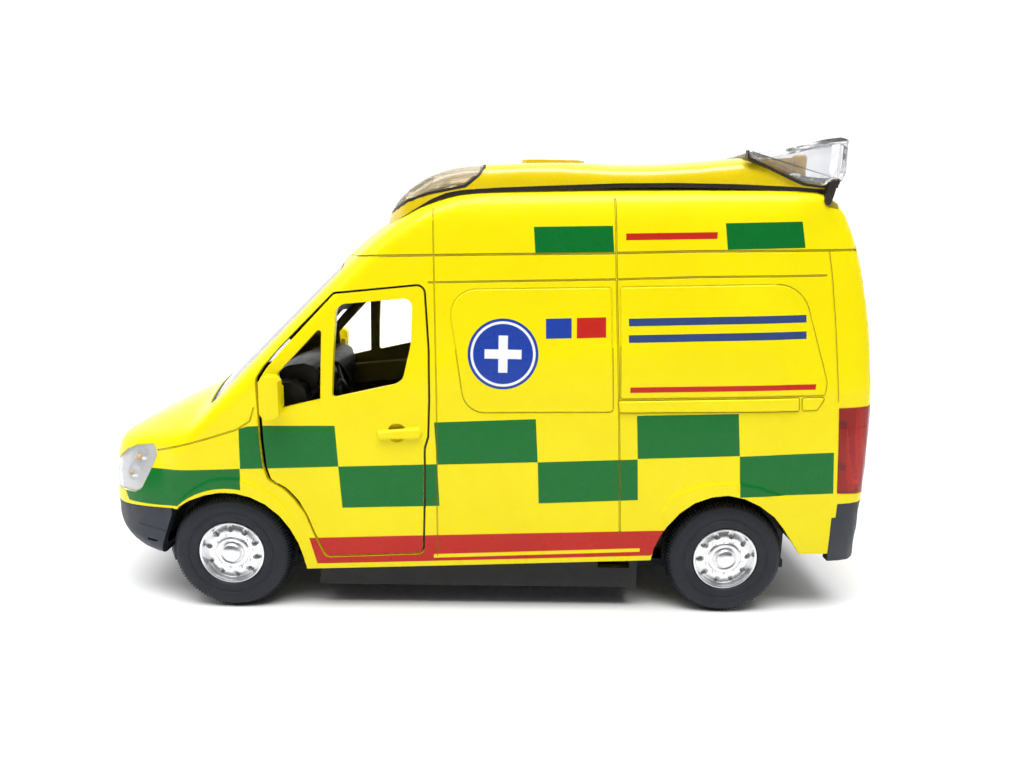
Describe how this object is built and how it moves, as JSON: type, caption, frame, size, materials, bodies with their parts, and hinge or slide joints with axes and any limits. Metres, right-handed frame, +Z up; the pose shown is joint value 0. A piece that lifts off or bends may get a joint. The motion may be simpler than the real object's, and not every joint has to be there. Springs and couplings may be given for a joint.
{
  "type": "toy ambulance van",
  "caption": "Die-cast toy high-roof ambulance van in yellow with green checks, rolling wheels, opening cab doors and twin rear doors, and clear roof beacon lenses.",
  "frame": {"origin": "on the floor, below the middle of the van's length and width", "axes": "+X forwards, +Y to the van's left, +Z up"},
  "size_m": [0.1609, 0.0688, 0.0973],
  "materials": {
    "yellow_paint": "gloss",
    "yellow_plastic": "gloss",
    "clear_glazing": "clear",
    "dark_trim": "satin",
    "headlamp_clear": "clear",
    "tail_red": "gloss",
    "smoked_amber": "clear",
    "beacon_clear": "clear",
    "amber": "gloss",
    "bright_rim": "bright",
    "tyre": "matte",
    "steel": "satin",
    "motor_plastic": "satin",
    "black_plastic": "satin"
  },
  "bodies": {
    "root": {"body_shell": "yellow_paint", "door_pins": "steel", "windscreen": "clear_glazing", "grille": "dark_trim", "front_bumper": "dark_trim", "rear_bumper": "dark_trim", "headlamp_left": "headlamp_clear", "headlamp_right": "headlamp_clear", "tail_lamp_left": "tail_red", "tail_lamp_right": "tail_red", "roof_fairing": "yellow_plastic", "front_beacon_lens": "smoked_amber", "rear_beacon_lens": "beacon_clear", "beacon_reflectors": "amber", "interior_floor": "black_plastic", "driver_seat": "black_plastic", "passenger_seat": "black_plastic", "dashboard": "black_plastic", "steering_wheel": "black_plastic", "chassis_base": "black_plastic", "battery_cover": "black_plastic", "motor_block": "motor_plastic"},
    "front_wheelset": {"front_axle": "steel", "rim_front_left": "bright_rim", "rim_front_right": "bright_rim", "tyre_front_left": "tyre", "tyre_front_right": "tyre"},
    "rear_wheelset": {"rear_axle": "steel", "rim_rear_left": "bright_rim", "rim_rear_right": "bright_rim", "tyre_rear_left": "tyre", "tyre_rear_right": "tyre"},
    "front_door_left": {"front_door_left": "yellow_paint", "mirror_left": "yellow_paint"},
    "front_door_right": {"front_door_right": "yellow_paint", "mirror_right": "yellow_paint"},
    "rear_door_left": {"rear_door_left": "yellow_paint", "rear_window_left": "clear_glazing"},
    "rear_door_right": {"rear_door_right": "yellow_paint", "rear_window_right": "clear_glazing"}
  },
  "joints": [
    {"name": "front_wheels_roll", "type": "hinge", "parent": "root", "child": "front_wheelset", "pos_m": [0.051, 0, 0.0123], "axis": [0, 1, 0], "continuous": true},
    {"name": "rear_wheels_roll", "type": "hinge", "parent": "root", "child": "rear_wheelset", "pos_m": [-0.051, 0, 0.0123], "axis": [0, 1, 0], "continuous": true},
    {"name": "front_door_left_hinge", "type": "hinge", "parent": "root", "child": "front_door_left", "pos_m": [0.0412, 0.029, 0.0365], "axis": [0, 0, -1], "range_deg": [0, 52]},
    {"name": "front_door_right_hinge", "type": "hinge", "parent": "root", "child": "front_door_right", "pos_m": [0.0412, -0.029, 0.0365], "axis": [0, 0, 1], "range_deg": [0, 52]},
    {"name": "rear_door_left_hinge", "type": "hinge", "parent": "root", "child": "rear_door_left", "pos_m": [-0.0799, 0.0216, 0.019], "axis": [-0.105, 0, -0.9945], "range_deg": [0, 85]},
    {"name": "rear_door_right_hinge", "type": "hinge", "parent": "root", "child": "rear_door_right", "pos_m": [-0.0799, -0.0216, 0.019], "axis": [0.105, 0, 0.9945], "range_deg": [0, 85]}
  ]
}
